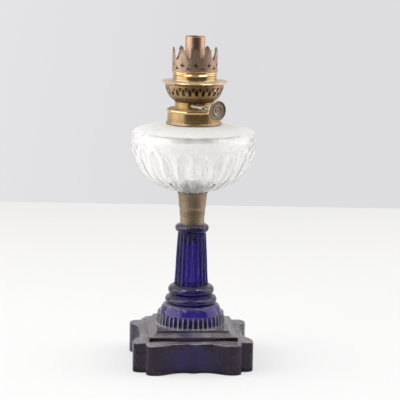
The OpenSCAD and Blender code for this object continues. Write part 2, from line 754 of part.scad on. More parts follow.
glass_foot();
foot_plaster();
stem_ferrule();
connector_rivet();
font_cup();
font_plaster();
glass_font();
collar_plaster();
font_collar();
burner_washer();
thread_ring();
base_plate();
burner_drum();
winder_box();
spindle_sleeve();
outer_wick_tube();
inner_air_tube();
spindle();
wick_wheels();
winder_knob();
wick();
air_basket();
draught_sleeve();
gallery_clips();
gallery_dish();
chimney_crown();
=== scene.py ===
"""Kerosene table lamp: finishes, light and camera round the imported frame."""

from __future__ import annotations

import logging
import math
from dataclasses import dataclass
from enum import Enum
from functools import lru_cache
from typing import Any, Optional, Union

import bpy
from mathutils import Matrix, Vector


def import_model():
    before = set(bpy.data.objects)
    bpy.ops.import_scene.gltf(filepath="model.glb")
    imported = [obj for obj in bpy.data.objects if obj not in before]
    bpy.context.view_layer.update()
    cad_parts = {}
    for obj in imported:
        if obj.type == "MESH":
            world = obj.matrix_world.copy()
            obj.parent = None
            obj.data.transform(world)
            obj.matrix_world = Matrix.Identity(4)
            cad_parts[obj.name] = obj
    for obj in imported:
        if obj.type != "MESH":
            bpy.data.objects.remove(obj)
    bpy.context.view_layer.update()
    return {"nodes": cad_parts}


log = logging.getLogger("lamp")

Colour = tuple[float, float, float]
Point = tuple[float, float, float]
Stops = tuple[tuple[float, Any], ...]

MILLIMETRE = 0.001
DECIMETRE = 0.1
FLAT = 0.95  # how far up a surface faces that dust takes for level
UP = Vector((0.0, 0.0, 1.0))


class Op(Enum):
    """The Math node operations that finishes use."""

    ADD = "ADD"
    SUBTRACT = "SUBTRACT"
    MULTIPLY = "MULTIPLY"
    POWER = "POWER"
    MINIMUM = "MINIMUM"
    MAXIMUM = "MAXIMUM"
    ANGLE = "ARCTAN2"
    COSINE = "COSINE"


class Axis(Enum):
    """The axes of a vector socket, by their place in it."""

    X = 0
    Y = 1
    Z = 2


class Ray(Enum):
    """The kinds of ray that the floor and the world tell apart."""

    CAMERA = "Is Camera Ray"
    GLOSSY = "Is Glossy Ray"
    THROUGH = "Is Transmission Ray"


Number = Union["Signal", float, int]


class Signal:
    """A shader value that Python's operators can work on."""

    def __init__(self, bench: "Bench", socket: bpy.types.NodeSocket) -> None:
        """Wraps one output socket of a bench's tree."""
        self.bench = bench
        self.socket = socket

    def _apply(self, op: Op, left: Number, right: Number) -> "Signal":
        """Adds one Math node."""
        return self.bench.node("ShaderNodeMath", {"operation": op.value}, {0: left, 1: right})

    def __add__(self, other: Number) -> "Signal":
        """self + other."""
        return self._apply(Op.ADD, self, other)

    def __radd__(self, other: Number) -> "Signal":
        """other + self."""
        return self._apply(Op.ADD, other, self)

    def __sub__(self, other: Number) -> "Signal":
        """self - other."""
        return self._apply(Op.SUBTRACT, self, other)

    def __rsub__(self, other: Number) -> "Signal":
        """other - self."""
        return self._apply(Op.SUBTRACT, other, self)

    def __mul__(self, other: Number) -> "Signal":
        """self * other."""
        return self._apply(Op.MULTIPLY, self, other)

    def __rmul__(self, other: Number) -> "Signal":
        """other * self."""
        return self._apply(Op.MULTIPLY, other, self)

    def __pow__(self, other: Number) -> "Signal":
        """self ** other."""
        return self._apply(Op.POWER, self, other)

    def clipped(self) -> "Signal":
        """The value held between 0 and 1."""
        return self._apply(Op.MINIMUM, self._apply(Op.MAXIMUM, self, 0.0), 1.0)

    def halved(self) -> "Signal":
        """A value from -1 to 1, brought to between 0 and 1."""
        return self * 0.5 + 0.5

    def partly(self, share: float) -> "Signal":
        """A weight that follows the value by a share, and is 1 for the rest."""
        return self * share + (1.0 - share)


class Bench:
    """Builds one node tree."""

    def __init__(self, tree: bpy.types.NodeTree) -> None:
        """Takes an empty tree."""
        self.tree = tree
        self._coords: Optional[Signal] = None

    def raw(self, kind: str, settings: Optional[dict[str, Any]] = None,
            values: Optional[dict[Any, Any]] = None) -> bpy.types.Node:
        """Adds a node, sets it up and fills its sockets.

        Args:
            kind: the node's type name.
            settings: attributes, set before the sockets; "stops" fills a colour ramp.
            values: socket name or number to a value or a Signal.

        Returns:
            The node.
        """
        node = self.tree.nodes.new(kind)
        for key, value in (settings or {}).items():
            if key == "stops":
                self._fill_ramp(node.color_ramp, value)
            else:
                setattr(node, key, value)
        for key, value in (values or {}).items():
            socket = node.inputs[key]
            if isinstance(value, Signal):
                self.tree.links.new(value.socket, socket)
            elif socket.type == "RGBA" and len(value) == 3:
                socket.default_value = (*value, 1.0)
            else:
                socket.default_value = value
        return node

    def node(self, kind: str, settings: Optional[dict[str, Any]] = None,
             values: Optional[dict[Any, Any]] = None, out: Union[int, str] = 0) -> Signal:
        """Adds a node as raw() does.

        Args:
            kind: the node's type name.
            settings: attributes, set first.
            values: the sockets' values or links.
            out: the output wanted.

        Returns:
            That output.
        """
        made = self.raw(kind, settings, values)
        return Signal(self, made.outputs[out])

    @staticmethod
    def _fill_ramp(ramp: bpy.types.ColorRamp, stops: Stops) -> None:
        """Sets a ramp's stops.

        Args:
            ramp: the ramp.
            stops: place and grey level or colour of each stop.
        """
        while len(ramp.elements) < len(stops):
            ramp.elements.new(0.5)
        for element, (place, level) in zip(ramp.elements, stops):
            element.position = place
            grey = isinstance(level, (int, float))
            element.color = (level, level, level, 1.0) if grey else (*level, 1.0)

    def coords(self) -> Signal:
        """Object coordinates, in metres, from one node.

        Returns:
            The coordinates.
        """
        if self._coords is None:
            self._coords = self.node("ShaderNodeTexCoord", out="Object")
        return self._coords

    def part(self, vector: Signal, axis: Axis) -> Signal:
        """One axis of a vector."""
        return self.node("ShaderNodeSeparateXYZ", {}, {0: vector}, out=axis.value)

    def height(self) -> Signal:
        """Height above the floor, in metres."""
        return self.part(self.coords(), Axis.Z)

    def stretched(self, scale: Point) -> Signal:
        """Object coordinates scaled apart along the axes."""
        return self.node("ShaderNodeMapping", {}, {"Vector": self.coords(), "Scale": scale})

    def along(self, vector: Signal, way: Union[Signal, Point]) -> Signal:
        """How far a vector reaches along a direction."""
        return self.node("ShaderNodeVectorMath", {"operation": "DOT_PRODUCT"},
                         {0: vector, 1: way}, out="Value")

    def geometry(self, out: str) -> Signal:
        """One of the surface's own values, by its name."""
        return self.node("ShaderNodeNewGeometry", out=out)

    def facing_up(self) -> Signal:
        """How far the surface faces up, from -1 to 1."""
        return self.part(self.geometry("Normal"), Axis.Z)

    def outward(self, middle: Point) -> Signal:
        """How far, in metres, the surface faces away from a point inside."""
        place = self.node("ShaderNodeVectorMath", {"operation": "SUBTRACT"},
                          {0: self.coords(), 1: middle})
        return self.along(place, self.geometry("Normal"))

    def angle(self, rise: Signal, across: Signal) -> Signal:
        """The angle of a direction, in radians."""
        return self.node("ShaderNodeMath", {"operation": Op.ANGLE.value}, {0: rise, 1: across})

    def wave(self, angle: Signal) -> Signal:
        """The cosine of an angle in radians, brought to between 0 and 1."""
        return self.node("ShaderNodeMath", {"operation": Op.COSINE.value}, {0: angle}).halved()

    def noise(self, scale: float, detail: float = 4.0, rough: float = 0.5,
              vector: Optional[Signal] = None) -> Signal:
        """Noise over the surface.

        Args:
            scale: features for each metre, roughly.
            detail: octaves.
            rough: weight of the finer octaves.
            vector: where it is read, object coordinates by default.

        Returns:
            Its grey level.
        """
        return self.node("ShaderNodeTexNoise", {}, {
            "Vector": vector or self.coords(), "Scale": scale, "Detail": detail,
            "Roughness": rough})

    def ramp(self, value: Signal, stops: Stops) -> Signal:
        """A colour ramp of a value."""
        return self.node("ShaderNodeValToRGB", {"stops": stops}, {"Fac": value})

    def rises(self, value: Signal, low: float, high: float) -> Signal:
        """0 up to a low value, and 1 from a high one."""
        return self.ramp(value, ((low, 0.0), (high, 1.0)))

    def mix(self, factor: Number, first: Any, second: Any) -> Signal:
        """Mixes two colours.

        Args:
            factor: the second one's share.
            first: a colour or Signal.
            second: a colour or Signal.

        Returns:
            The mixed colour.
        """
        return self.node("ShaderNodeMix", {"data_type": "RGBA"},
                         {0: factor, 6: first, 7: second}, out=2)

    def bump(self, height: Signal, distance: float, strength: float = 1.0) -> Signal:
        """A bumped normal.

        Args:
            height: the height map.
            distance: its depth in metres.
            strength: its share.

        Returns:
            The normal.
        """
        return self.node("ShaderNodeBump", {}, {
            "Height": height, "Distance": distance, "Strength": strength})

    def principled(self, values: dict[str, Any]) -> Signal:
        """The main surface shader, with its sockets' values."""
        return self.node("ShaderNodeBsdfPrincipled", {}, values)

    def diffuse(self, colour: Colour) -> Signal:
        """A matt shader."""
        return self.node("ShaderNodeBsdfDiffuse", {}, {"Color": colour})

    def laid_over(self, cover: Number, under: Signal, over: Signal) -> Signal:
        """One shader laid over another, as far as a cover goes."""
        return self.node("ShaderNodeMixShader", {}, {0: cover, 1: under, 2: over})

    def ray(self, kind: Ray) -> Signal:
        """1 for one kind of ray, else 0."""
        return self.node("ShaderNodeLightPath", out=kind.value)


@dataclass(frozen=True)
class Patches:
    """Soft patches over a surface, cut from noise.

    Attributes:
        scale: patches for each metre, roughly.
        detail: octaves of the noise.
        rough: weight of the finer octaves.
        low: level of the noise where a patch begins.
        high: level of the noise where a patch is full.
        least: cover between the patches.
    """

    scale: float
    detail: float
    rough: float
    low: float
    high: float
    least: float = 0.0

    def cover(self, bench: Bench, sooner: float = 0.0) -> Signal:
        """How far the patches cover the surface.

        Args:
            bench: the material's bench.
            sooner: how much lower a patch begins.

        Returns:
            The cover, from 0 to 1.
        """
        noise = bench.noise(self.scale, self.detail, self.rough)
        return bench.ramp(noise, ((self.low - sooner, self.least), (self.high, 1.0)))


class Dress:
    """Base of the finishes: each makes one material."""

    name: str

    def surface(self, bench: Bench) -> Signal:
        """Makes the surface's shader."""
        raise NotImplementedError

    def inside(self, bench: Bench) -> Optional[Signal]:
        """Makes the inside's shader, where there is one."""
        return None

    def build(self) -> bpy.types.Material:
        """Makes the material.

        Returns:
            The material.
        """
        material = bpy.data.materials.new(self.name)
        material.use_nodes = True
        material.node_tree.nodes.clear()
        bench = Bench(material.node_tree)
        shaders = {"Surface": self.surface(bench), "Volume": self.inside(bench)}
        bench.raw("ShaderNodeOutputMaterial", {},
                  {socket: shader for socket, shader in shaders.items() if shader is not None})
        return material


Finishes = tuple[tuple[str, Dress], ...]


@lru_cache(maxsize=None)
def material_of(finish: Dress) -> bpy.types.Material:
    """The finish's material, made once."""
    return finish.build()


@dataclass(frozen=True)
class AgedBrass(Dress):
    """Old lathe-turned or spun brass with tarnish, specks and a trace of verdigris.

    Attributes:
        name: the material's name.
        clean: the metal where it is bright.
        worn: the metal under its tarnish.
        dark: the finest spots of the tarnish.
        tarnish: the tarnish's share.
        specks: cover of the small specks of dirt.
        verdigris: cover of the green bloom.
        gloss: roughness of the bright metal.
        turned: depth of the lathe's lines, in metres.
        dust: cover of the dust on what faces up.
        dusty_from: how far a surface faces up before dust lies on it.
        clinging: how much of the dust lies only on the tarnish clouds.
        dull: the share that no longer shines as metal.
        foot: height of the piece's foot, in metres.
        soil: cover of the soil just above the foot, 0 for none.
        soil_rise: how far that soil climbs, in metres.
        soot_from: height where soot begins, in metres, 0 for none.
        soot: cover of the soot by height above that.
        lint: the dust's colour.
        grime_and_shade: the dirt's colour, which on the knob also paints the rim's shade.
        green: the bloom's colour.
        clouds: the tarnish's clouds.
        spread: how much lower the clouds begin at full tarnish.
        spots: the tarnish's fine spots.
        spotted: cover of the spots at full tarnish.
        pits: height of the spots, in millimetres.
        flecks: the specks of dirt.
        blooms: the green bloom's patches.
        creases: dirt by how hollow the surface is.
        lathe: the lathe's lines along each axis, for each metre.
    """

    name: str
    clean: Colour
    worn: Colour
    dark: Colour
    tarnish: float = 0.5
    specks: float = 0.3
    verdigris: float = 0.0
    gloss: float = 0.3
    turned: float = 0.000012
    dust: float = 0.3
    dusty_from: float = 0.5
    clinging: float = 0.4
    dull: float = 0.0
    foot: float = 0.0
    soil: float = 0.0
    soil_rise: float = 0.01
    soot_from: float = 0.0
    soot: Stops = ((0.0, 0.0), (0.007, 0.55))
    lint: Colour = (0.46, 0.38, 0.31)
    # The dirt's colour; on the knob it also paints the shade along the rim.
    grime_and_shade: Colour = (0.045, 0.03, 0.018)
    green: Colour = (0.12, 0.3, 0.25)
    clouds: Patches = Patches(38.0, 6.0, 0.62, 0.5, 0.72)
    spread: float = 0.22
    spots: Patches = Patches(420.0, 5.0, 0.6, 0.42, 0.78)
    spotted: float = 0.18
    pits: float = 0.0015
    flecks: Patches = Patches(900.0, 3.0, 0.5, 0.6, 0.72)
    blooms: Patches = Patches(70.0, 5.0, 0.6, 0.6, 0.7)
    creases: Stops = ((0.42, 0.75), (0.5, 0.0))
    lathe: Point = (26.0, 26.0, 2600.0)

    def surface(self, bench: Bench) -> Signal:
        """Makes the metal's shader.

        Args:
            bench: the material's bench.

        Returns:
            The shader.
        """
        cloud = self.clouds.cover(bench, sooner=self.spread * self.tarnish)
        spots = self.spots.cover(bench)
        specks = self.flecks.cover(bench) * self.specks
        lines = bench.noise(1.0, 3.0, 0.7, bench.stretched(self.lathe))
        dirt = self.hollows(bench)
        dust = bench.rises(bench.facing_up(), self.dusty_from, FLAT) * self.dust
        tone = bench.mix(cloud * self.tarnish, self.clean, self.worn)
        tone = bench.mix(spots * (self.spotted * self.tarnish), tone, self.dark)
        tone = bench.mix(specks, tone, self.grime_and_shade)
        tone = bench.mix(dust * cloud.partly(self.clinging), tone, self.lint)
        # Dirt from the hollows; on the knob this also paints shade along the rim.
        tone = bench.mix(dirt, tone, self.grime_and_shade)
        # Each kind of dirt, and the knob's painted shade, takes its own share of the metal's
        # look, and roughens it.
        metal = 1.0 - self.dull - specks * 0.3 - dirt * 0.3 - dust * 0.6
        rough = (self.gloss + cloud * (0.09 * self.tarnish) + spots * 0.05
                 + dirt * 0.2 + dust * 0.3)
        if self.verdigris > 0:
            bloom = self.blooms.cover(bench) * self.verdigris
            tone = bench.mix(bloom, tone, self.green)
            metal = metal - bloom * 0.5
            rough = rough + bloom * 0.3
        relief = lines * (self.turned / MILLIMETRE) + spots * self.pits
        return bench.principled({
            "Base Color": tone, "Metallic": metal.clipped(), "Roughness": rough.clipped(),
            "Normal": bench.bump(relief, MILLIMETRE)})

    def hollows(self, bench: Bench) -> Signal:
        """Where dirt lies: in creases and, where they are set, near the foot and as soot.

        Args:
            bench: the material's bench.

        Returns:
            The dirt's cover, from 0 to 1.
        """
        dirt = bench.ramp(bench.geometry("Pointiness"), self.creases)
        if self.soil > 0:
            dirt = dirt + bench.ramp(bench.height() - self.foot,
                                     ((0.0, self.soil), (self.soil_rise, 0.0)))
        if self.soot_from > 0:
            dirt = dirt + bench.ramp(bench.height() - self.soot_from, self.soot)
        return dirt.clipped()


@dataclass(frozen=True)
class FiguredBrass(AgedBrass):
    """Brass of the knob, with dirt between its raised rays and beside its rings, and painted
    shade along its rim.

    Attributes:
        turn: the spindle's direction round the lamp, in degrees.
        off: how far the spindle passes beside the lamp's middle, in metres.
        up: the spindle's height, in metres.
        reach: the face's distance along the spindle, in metres.
        front: cover along the spindle, read half a metre on from the face.
        face: the unit of the radii below, in metres.
        rays: how many rays the ring has.
        gaps: dirt by the turn from one ray to the next.
        ring: cover of the dirt between the rays by radius.
        rings: darker bands by radius: dirt beside the plain rings, a darker centre hole, and
            painted shade for the rim's dark line.
        between: how much of the dirt between the rays shows.
        shown: how much of all the dirt and the painted shade shows.
    """

    turn: float = -57.0
    off: float = 0.015
    up: float = 0.31775
    reach: float = 0.0656
    front: Stops = ((0.4978, 0.0), (0.4982, 1.0))
    face: float = 0.02
    rays: int = 16
    gaps: Stops = ((0.45, 1.0), (0.62, 0.0))
    ring: Stops = ((0.36, 0.0), (0.38, 1.0), (0.5, 1.0), (0.52, 0.0))
    # Dirt beside the plain rings, a darker centre hole, and from 0.5 outwards painted shade
    # along the rim.
    rings: Stops = (
        (0.045, 1.0), (0.06, 0.0), (0.13, 0.0), (0.15, 0.55), (0.2, 0.2), (0.28, 0.35),
        (0.3, 0.8), (0.32, 0.0), (0.345, 0.0), (0.355, 0.7), (0.37, 0.0), (0.5, 0.0),
        (0.52, 0.85), (0.55, 0.85), (0.57, 0.0), (0.6, 0.3))
    between: float = 0.9
    shown: float = 0.9

    def hollows(self, bench: Bench) -> Signal:
        """Where dirt lies in the knob's face, and where shade is painted along its rim.

        Args:
            bench: the material's bench.

        Returns:
            The cover of the dirt and the painted shade, from 0 to 1.
        """
        turn = math.radians(self.turn)
        here = bench.coords()
        across = bench.along(here, (-math.sin(turn), math.cos(turn), 0.0)) + self.off
        rise = bench.height() - self.up
        ahead = bench.along(here, (math.cos(turn), math.sin(turn), 0.0)) - self.reach + 0.5
        radius = (across * across + rise * rise) ** 0.5 * (1 / self.face)
        gaps = bench.ramp(bench.wave(bench.angle(rise, across) * self.rays), self.gaps)
        dirt = gaps * bench.ramp(radius, self.ring) * self.between
        # Darker bands by radius: dirt beside the rings, a darker centre hole, and painted
        # shade along the rim.
        dirt = dirt + bench.ramp(radius, self.rings)
        return dirt.clipped() * bench.ramp(ahead, self.front) * self.shown


@dataclass(frozen=True)
class PressedGlass(Dress):
    """Thick pressed glass, rippled by the mould, with dust on what faces up.

    Attributes:
        name: the material's name.
        tint: the surface's colour.
        absorb: the colour that its depth takes on.
        density: how fast its depth takes it on.
        dust: the dust's colour.
        dust_up: cover of the dust on what faces up.
        film: cover of the film that lies all over.
        shine: level of the reflections.
        tint_shine: the reflections' colour.
        streaks: the film's streaks along each axis, for each metre.
        streaky: the film's share by the streaks.
        drawn: height of the streaks beside the ripple.
        dusty_from: how far a surface faces up before dust lies on it.
        patchy: the share of the dust that lies in patches.
        middle: height of a point inside, in metres: dirt lies on the outside alone.
        sharp: how sharply the outside is told from the inside, for each metre.
        clear_below: height up to which the film is thin, in metres.
        clear_edge: how far above that the film is full, in metres.
        thin: the thin film's share.
        clean_above: height from which little dust lies, in metres.
        clean_edge: how far above that the dust is least, in metres.
        least: the least dust's share.
        gloss: roughness of the clean glass.
        ripple: depth of the mould's ripple, in metres.
        bend: index of refraction.
        swells: ripples for each metre.
        smears: the smears.
        smeared: roughness that the smears add.
        grit: grains of dust for each metre.
        grain: level of the dust's darker grains.
        matt: roughness of the dirt.
    """

    name: str
    tint: Colour
    absorb: Colour
    density: float
    dust: Colour
    dust_up: float
    film: float
    shine: float = 0.5
    tint_shine: Colour = (1.0, 1.0, 1.0)
    streaks: Point = (240.0, 240.0, 14.0)
    streaky: Stops = ((0.3, 0.6), (0.7, 1.0))
    drawn: float = 0.12
    dusty_from: float = 0.55
    patchy: float = 0.75
    middle: float = 0.0
    sharp: float = 50.0
    clear_below: float = 0.0
    clear_edge: float = 0.035
    thin: float = 0.25
    clean_above: float = 0.9
    clean_edge: float = 0.008
    least: float = 0.3
    gloss: float = 0.02
    ripple: float = 0.0006
    bend: float = 1.52
    swells: float = 75.0
    smears: Patches = Patches(26.0, 6.0, 0.65, 0.4, 0.7)
    smeared: float = 0.05
    grit: float = 1400.0
    grain: float = 0.88
    matt: float = 0.85

    def surface(self, bench: Bench) -> Signal:
        """Makes the glass's shader, with the dirt over it.

        Args:
            bench: the material's bench.

        Returns:
            The shader.
        """
        streak = bench.noise(1.0, 3.0, 0.45, bench.stretched(self.streaks))
        smear = self.smears.cover(bench)
        relief = bench.noise(self.swells, 3.0, 0.5) + streak * self.drawn
        glass = bench.principled({
            "Base Color": self.tint, "Roughness": self.gloss + smear * self.smeared,
            "Transmission Weight": 1.0, "IOR": self.bend, "Specular IOR Level": self.shine,
            "Specular Tint": self.tint_shine, "Normal": bench.bump(relief, self.ripple, 0.5)})
        dust = bench.mix(bench.noise(self.grit, 3.0, 0.6), self.dust,
                         tuple(level * self.grain for level in self.dust))
        lying = bench.rises(bench.facing_up(), self.dusty_from, FLAT) * self.dust_up
        lying = lying * smear.partly(self.patchy) * bench.ramp(bench.height(), (
            (self.clean_above, 1.0), (self.clean_above + self.clean_edge, self.least)))
        film = self.film * bench.ramp(streak, self.streaky) * bench.ramp(bench.height(), (
            (self.clear_below, self.thin), (self.clear_below + self.clear_edge, 1.0)))
        # The foot's glass gets its painted highlights here, in the film and the dust.
        film, dust = self.worn(bench, film, dust, smear)
        outward = bench.outward((0.0, 0.0, self.middle)) * self.sharp + 0.5
        outside = bench.rises(outward, 0.45, 0.55) * (1.0 - bench.geometry("Backfacing"))
        # The dirt layer: dust and film, and on the foot also its painted highlights.
        dirt = bench.principled({"Base Color": dust, "Roughness": self.matt})
        return bench.laid_over(((lying + film) * outside).clipped(), glass, dirt)

    def inside(self, bench: Bench) -> Optional[Signal]:
        """Makes the shader of the glass's depth."""
        return bench.node("ShaderNodeVolumeAbsorption", {}, {
            "Color": self.absorb, "Density": self.density})

    def worn(self, bench: Bench, film: Signal, dust: Signal,
             smear: Signal) -> tuple[Signal, Signal]:
        """Adds the painted highlights to the dirt, which plain glass doesn't have."""
        return film, dust


@dataclass(frozen=True)
class RibbedGlass(PressedGlass):
    """The foot's glass, with pale painted highlights along the ribs of its band and the
    plinth's top edge.

    Attributes:
        painted_highlight: the pale colour of the painted highlights.
        ribs: how many ribs the band has.
        tops: cover by the turn from one rib to the next.
        band: cover of the ribs by height, in decimetres.
        rims: cover of the band's lower rim by height, in decimetres.
        ring: cover of the band by distance from the middle, in decimetres.
        rib_highlight_share: how much of the band's painted highlights shows.
        edge: cover of the plinth's edge by height, in decimetres.
        slant: cover of the plinth's edge by how far it faces up.
        edge_highlight_patches: the patches that break up the edge's painted highlight.
        edge_highlight_share: how much of the edge's painted highlight shows.
        uneven: how much of the painted highlights lies only in the smears.
    """

    # The pale colour of the painted highlights along the ribs and the plinth's edge.
    painted_highlight: Colour = (0.62, 0.6, 0.64)
    ribs: int = 42
    tops: Stops = ((0.92, 0.0), (0.98, 1.0))
    band: Stops = ((0.478, 0.0), (0.488, 1.0), (0.608, 1.0), (0.62, 0.0))
    rims: Stops = ((0.474, 0.0), (0.479, 0.6), (0.49, 0.6), (0.497, 0.0))
    ring: Stops = ((0.38, 0.0), (0.4, 1.0), (0.445, 1.0), (0.455, 0.0))
    rib_highlight_share: float = 0.8
    edge: Stops = ((0.345, 0.0), (0.352, 1.0), (0.364, 1.0), (0.368, 0.0))
    slant: Stops = ((0.4, 0.0), (0.6, 1.0), (0.78, 1.0), (0.9, 0.0))
    edge_highlight_patches: Patches = Patches(160.0, 4.0, 0.6, 0.4, 0.6, least=0.25)
    edge_highlight_share: float = 0.6
    uneven: float = 0.45

    def worn(self, bench: Bench, film: Signal, dust: Signal,
             smear: Signal) -> tuple[Signal, Signal]:
        """Adds the pale painted highlights to the dirt.

        Args:
            bench: the material's bench.
            film: the film's cover.
            dust: the dust's colour.
            smear: the smears' cover.

        Returns:
            The film's cover and the dust's colour, with the painted highlights in them.
        """
        # Pale painted highlights along the band's ribs and the plinth's edge, laid into the
        # film and the dust.
        painted_highlight = self.rib_highlights(bench) + self.edge_highlight(bench)
        painted_highlight = painted_highlight * smear.partly(self.uneven)
        return film + painted_highlight, bench.mix(painted_highlight.clipped(), dust, self.painted_highlight)

    def rib_highlights(self, bench: Bench) -> Signal:
        """Painted highlights along the ribs of the band.

        Args:
            bench: the material's bench.

        Returns:
            The painted highlights' cover, from 0 to 1.
        """
        here = bench.coords()
        across, depth = bench.part(here, Axis.X), bench.part(here, Axis.Y)
        turns = (bench.angle(depth, across) + math.pi / 2) * self.ribs
        radius = (across * across + depth * depth) ** 0.5 * (1 / DECIMETRE)
        high = bench.height() * (1 / DECIMETRE)
        # Painted highlights on the rib tops and along the band's lower rim.
        lines = bench.ramp(bench.wave(turns), self.tops) * bench.ramp(high, self.band)
        lines = lines + bench.ramp(high, self.rims)
        return lines * bench.ramp(radius, self.ring) * self.rib_highlight_share

    def edge_highlight(self, bench: Bench) -> Signal:
        """A painted highlight along the plinth's rounded top edge.

        Args:
            bench: the material's bench.

        Returns:
            The painted highlight's cover, from 0 to 1.
        """
        # Painted highlight where the plinth's top edge slants up, broken into patches.
        level = bench.ramp(bench.height() * (1 / DECIMETRE), self.edge)
        slant = bench.ramp(bench.facing_up(), self.slant)
        return level * slant * self.edge_highlight_patches.cover(bench) * self.edge_highlight_share


@dataclass(frozen=True)
class Dull(Dress):
    """A matt stuff with grain: plaster, leather or steel.

    Attributes:
        name: the material's name.
        light: the lighter colour.
        deep: the deeper colour.
        grain: grains for each metre.
        depth: depth of the grain, in metres.
        rough: its roughness.
        metal: 1 for a metal, else 0.
        coarse: how coarse its clouds are beside the grain.
        clouded: the clouds' share of the colour; the rest is the grain's.
        uneven: how far the roughness varies with the grain.
    """

    name: str
    light: Colour
    deep: Colour
    grain: float
    depth: float
    rough: float = 0.8
    metal: float = 0.0
    coarse: float = 0.12
    clouded: float = 0.6
    uneven: float = 0.2

    def surface(self, bench: Bench) -> Signal:
        """Makes the stuff's shader.

        Args:
            bench: the material's bench.

        Returns:
            The shader.
        """
        cloud = bench.noise(self.grain * self.coarse)
        grain = bench.noise(self.grain, 6.0, 0.65)
        tone = (cloud * self.clouded + grain * (1.0 - self.clouded)).clipped()
        rough = (self.rough + (grain - 0.5) * self.uneven).clipped()
        return bench.principled({
            "Base Color": bench.mix(tone, self.light, self.deep),
            "Metallic": self.metal, "Roughness": rough,
            "Normal": bench.bump(grain, self.depth)})


@dataclass(frozen=True)
class WovenCotton(Dress):
    """The wick's woven cotton.

    Attributes:
        name: the material's name.
        yarn: the yarn's colour.
        shade: the colour between the yarns.
        rows: scale of the weave along the wick.
        ends: scale of the weave across the wick.
        uneven: how far the yarns stray.
        depth: depth of the weave, in metres.
        rough: its roughness.
    """

    name: str
    yarn: Colour
    shade: Colour
    rows: float = 260.0
    ends: float = 300.0
    uneven: float = 1.5
    depth: float = 0.0003
    rough: float = 0.95

    def surface(self, bench: Bench) -> Signal:
        """Makes the cotton's shader.

        Args:
            bench: the material's bench.

        Returns:
            The shader.
        """
        yarns = self._yarns(bench, Axis.Z, self.rows) * self._yarns(bench, Axis.X, self.ends)
        weave = yarns.clipped()
        return bench.principled({
            "Base Color": bench.mix(weave, self.shade, self.yarn), "Roughness": self.rough,
            "Normal": bench.bump(weave, self.depth)})

    def _yarns(self, bench: Bench, axis: Axis, scale: float) -> Signal:
        """The yarns that follow each other along one axis."""
        return bench.node("ShaderNodeTexWave", {"bands_direction": axis.name}, {
            "Vector": bench.coords(), "Scale": scale, "Distortion": self.uneven})


# The foot's cobalt glass; its finish paints pale highlights along the ribs and the plinth's
# edge.
COBALT = RibbedGlass("cobalt glass", (0.93, 0.88, 1.0), (0.37, 0.07, 0.775), 420.0,
                     dust=(0.42, 0.37, 0.39), dust_up=0.62, film=0.055, shine=0.42,
                     tint_shine=(0.86, 0.68, 1.0), clear_below=0.03, clean_above=0.07)
CLEAR = PressedGlass("clear glass", (1.0, 1.0, 0.995), (0.93, 0.92, 0.88), 3.0,
                     dust=(0.82, 0.812, 0.79), dust_up=0.72, film=0.6,
                     streaks=(60.0, 60.0, 7.0), dusty_from=0.75, patchy=0.35, middle=0.25,
                     clear_below=0.2, thin=0.45)
COLLAR = AgedBrass("collar brass", (0.84, 0.57, 0.28), (0.48, 0.3, 0.12), (0.22, 0.13, 0.05),
                   specks=0.15, gloss=0.15, turned=0.000005, foot=0.2946, soil=0.75,
                   soil_rise=0.005)
BURNER = AgedBrass("burner brass", (0.82, 0.54, 0.2), (0.4, 0.25, 0.11), (0.18, 0.1, 0.045),
                   tarnish=0.75, specks=0.4, verdigris=0.3, gloss=0.15, turned=0.000005)
BASKET = AgedBrass("basket brass", (0.52, 0.335, 0.15), (0.32, 0.18, 0.075),
                   (0.15, 0.085, 0.04), tarnish=0.9, specks=0.4, gloss=0.26, dull=0.25,
                   foot=0.322, soil=0.85, soil_rise=0.014)
PLATE = AgedBrass("plate brass", (0.5, 0.36, 0.2), (0.32, 0.22, 0.13), (0.15, 0.1, 0.05),
                  tarnish=0.8, specks=0.4, dust=0.95, dull=0.2, lint=(0.4, 0.31, 0.25))
SLEEVE = AgedBrass("sleeve brass", (0.4, 0.37, 0.28), (0.26, 0.23, 0.17), (0.12, 0.1, 0.07),
                   tarnish=0.7, verdigris=0.8, gloss=0.34, dull=0.2)
# Near-black brass for the draught sleeve: painted shade for the dark inside of the basket.
BASKET_SHADE = AgedBrass("sooty brass", (0.16, 0.11, 0.065), (0.09, 0.06, 0.04), (0.04, 0.03, 0.02),
                  tarnish=1.0, specks=0.5, gloss=0.45, dull=0.3)
DISH = AgedBrass("gallery brass", (0.82, 0.56, 0.26), (0.42, 0.27, 0.12), (0.18, 0.1, 0.045),
                 tarnish=0.6, specks=0.35, gloss=0.13, turned=0.000005, dust=0.9,
                 lint=(0.62, 0.54, 0.49))
ROSY = AgedBrass("heat-stained brass", (0.5, 0.365, 0.24), (0.3, 0.19, 0.16),
                 (0.1, 0.07, 0.055), tarnish=1.0, specks=0.6, gloss=0.36, dull=0.25,
                 soot_from=0.379)
TUBE = AgedBrass("wick tube brass", (0.6, 0.41, 0.28), (0.42, 0.27, 0.2), (0.2, 0.12, 0.08),
                 tarnish=0.7, specks=0.2, gloss=0.35)
SADDLE = AgedBrass("connector brass", (0.42, 0.315, 0.205), (0.24, 0.18, 0.125),
                   (0.1, 0.075, 0.055), tarnish=1.0, specks=0.5, gloss=0.43, dull=0.15)
KNOB = FiguredBrass("knob brass", (0.5, 0.41, 0.3), (0.32, 0.25, 0.17), (0.12, 0.08, 0.05),
                    tarnish=0.7, specks=0.4, gloss=0.34)
PLASTER = Dull("plaster", (0.72, 0.68, 0.6), (0.5, 0.46, 0.4), 900.0, 0.0002)
LEATHER = Dull("washer leather", (0.2, 0.12, 0.07), (0.1, 0.06, 0.035), 1200.0, 0.0002,
               rough=0.6)
STEEL = Dull("spindle steel", (0.42, 0.4, 0.37), (0.2, 0.17, 0.14), 1500.0, 0.00005,
             rough=0.38, metal=1.0)
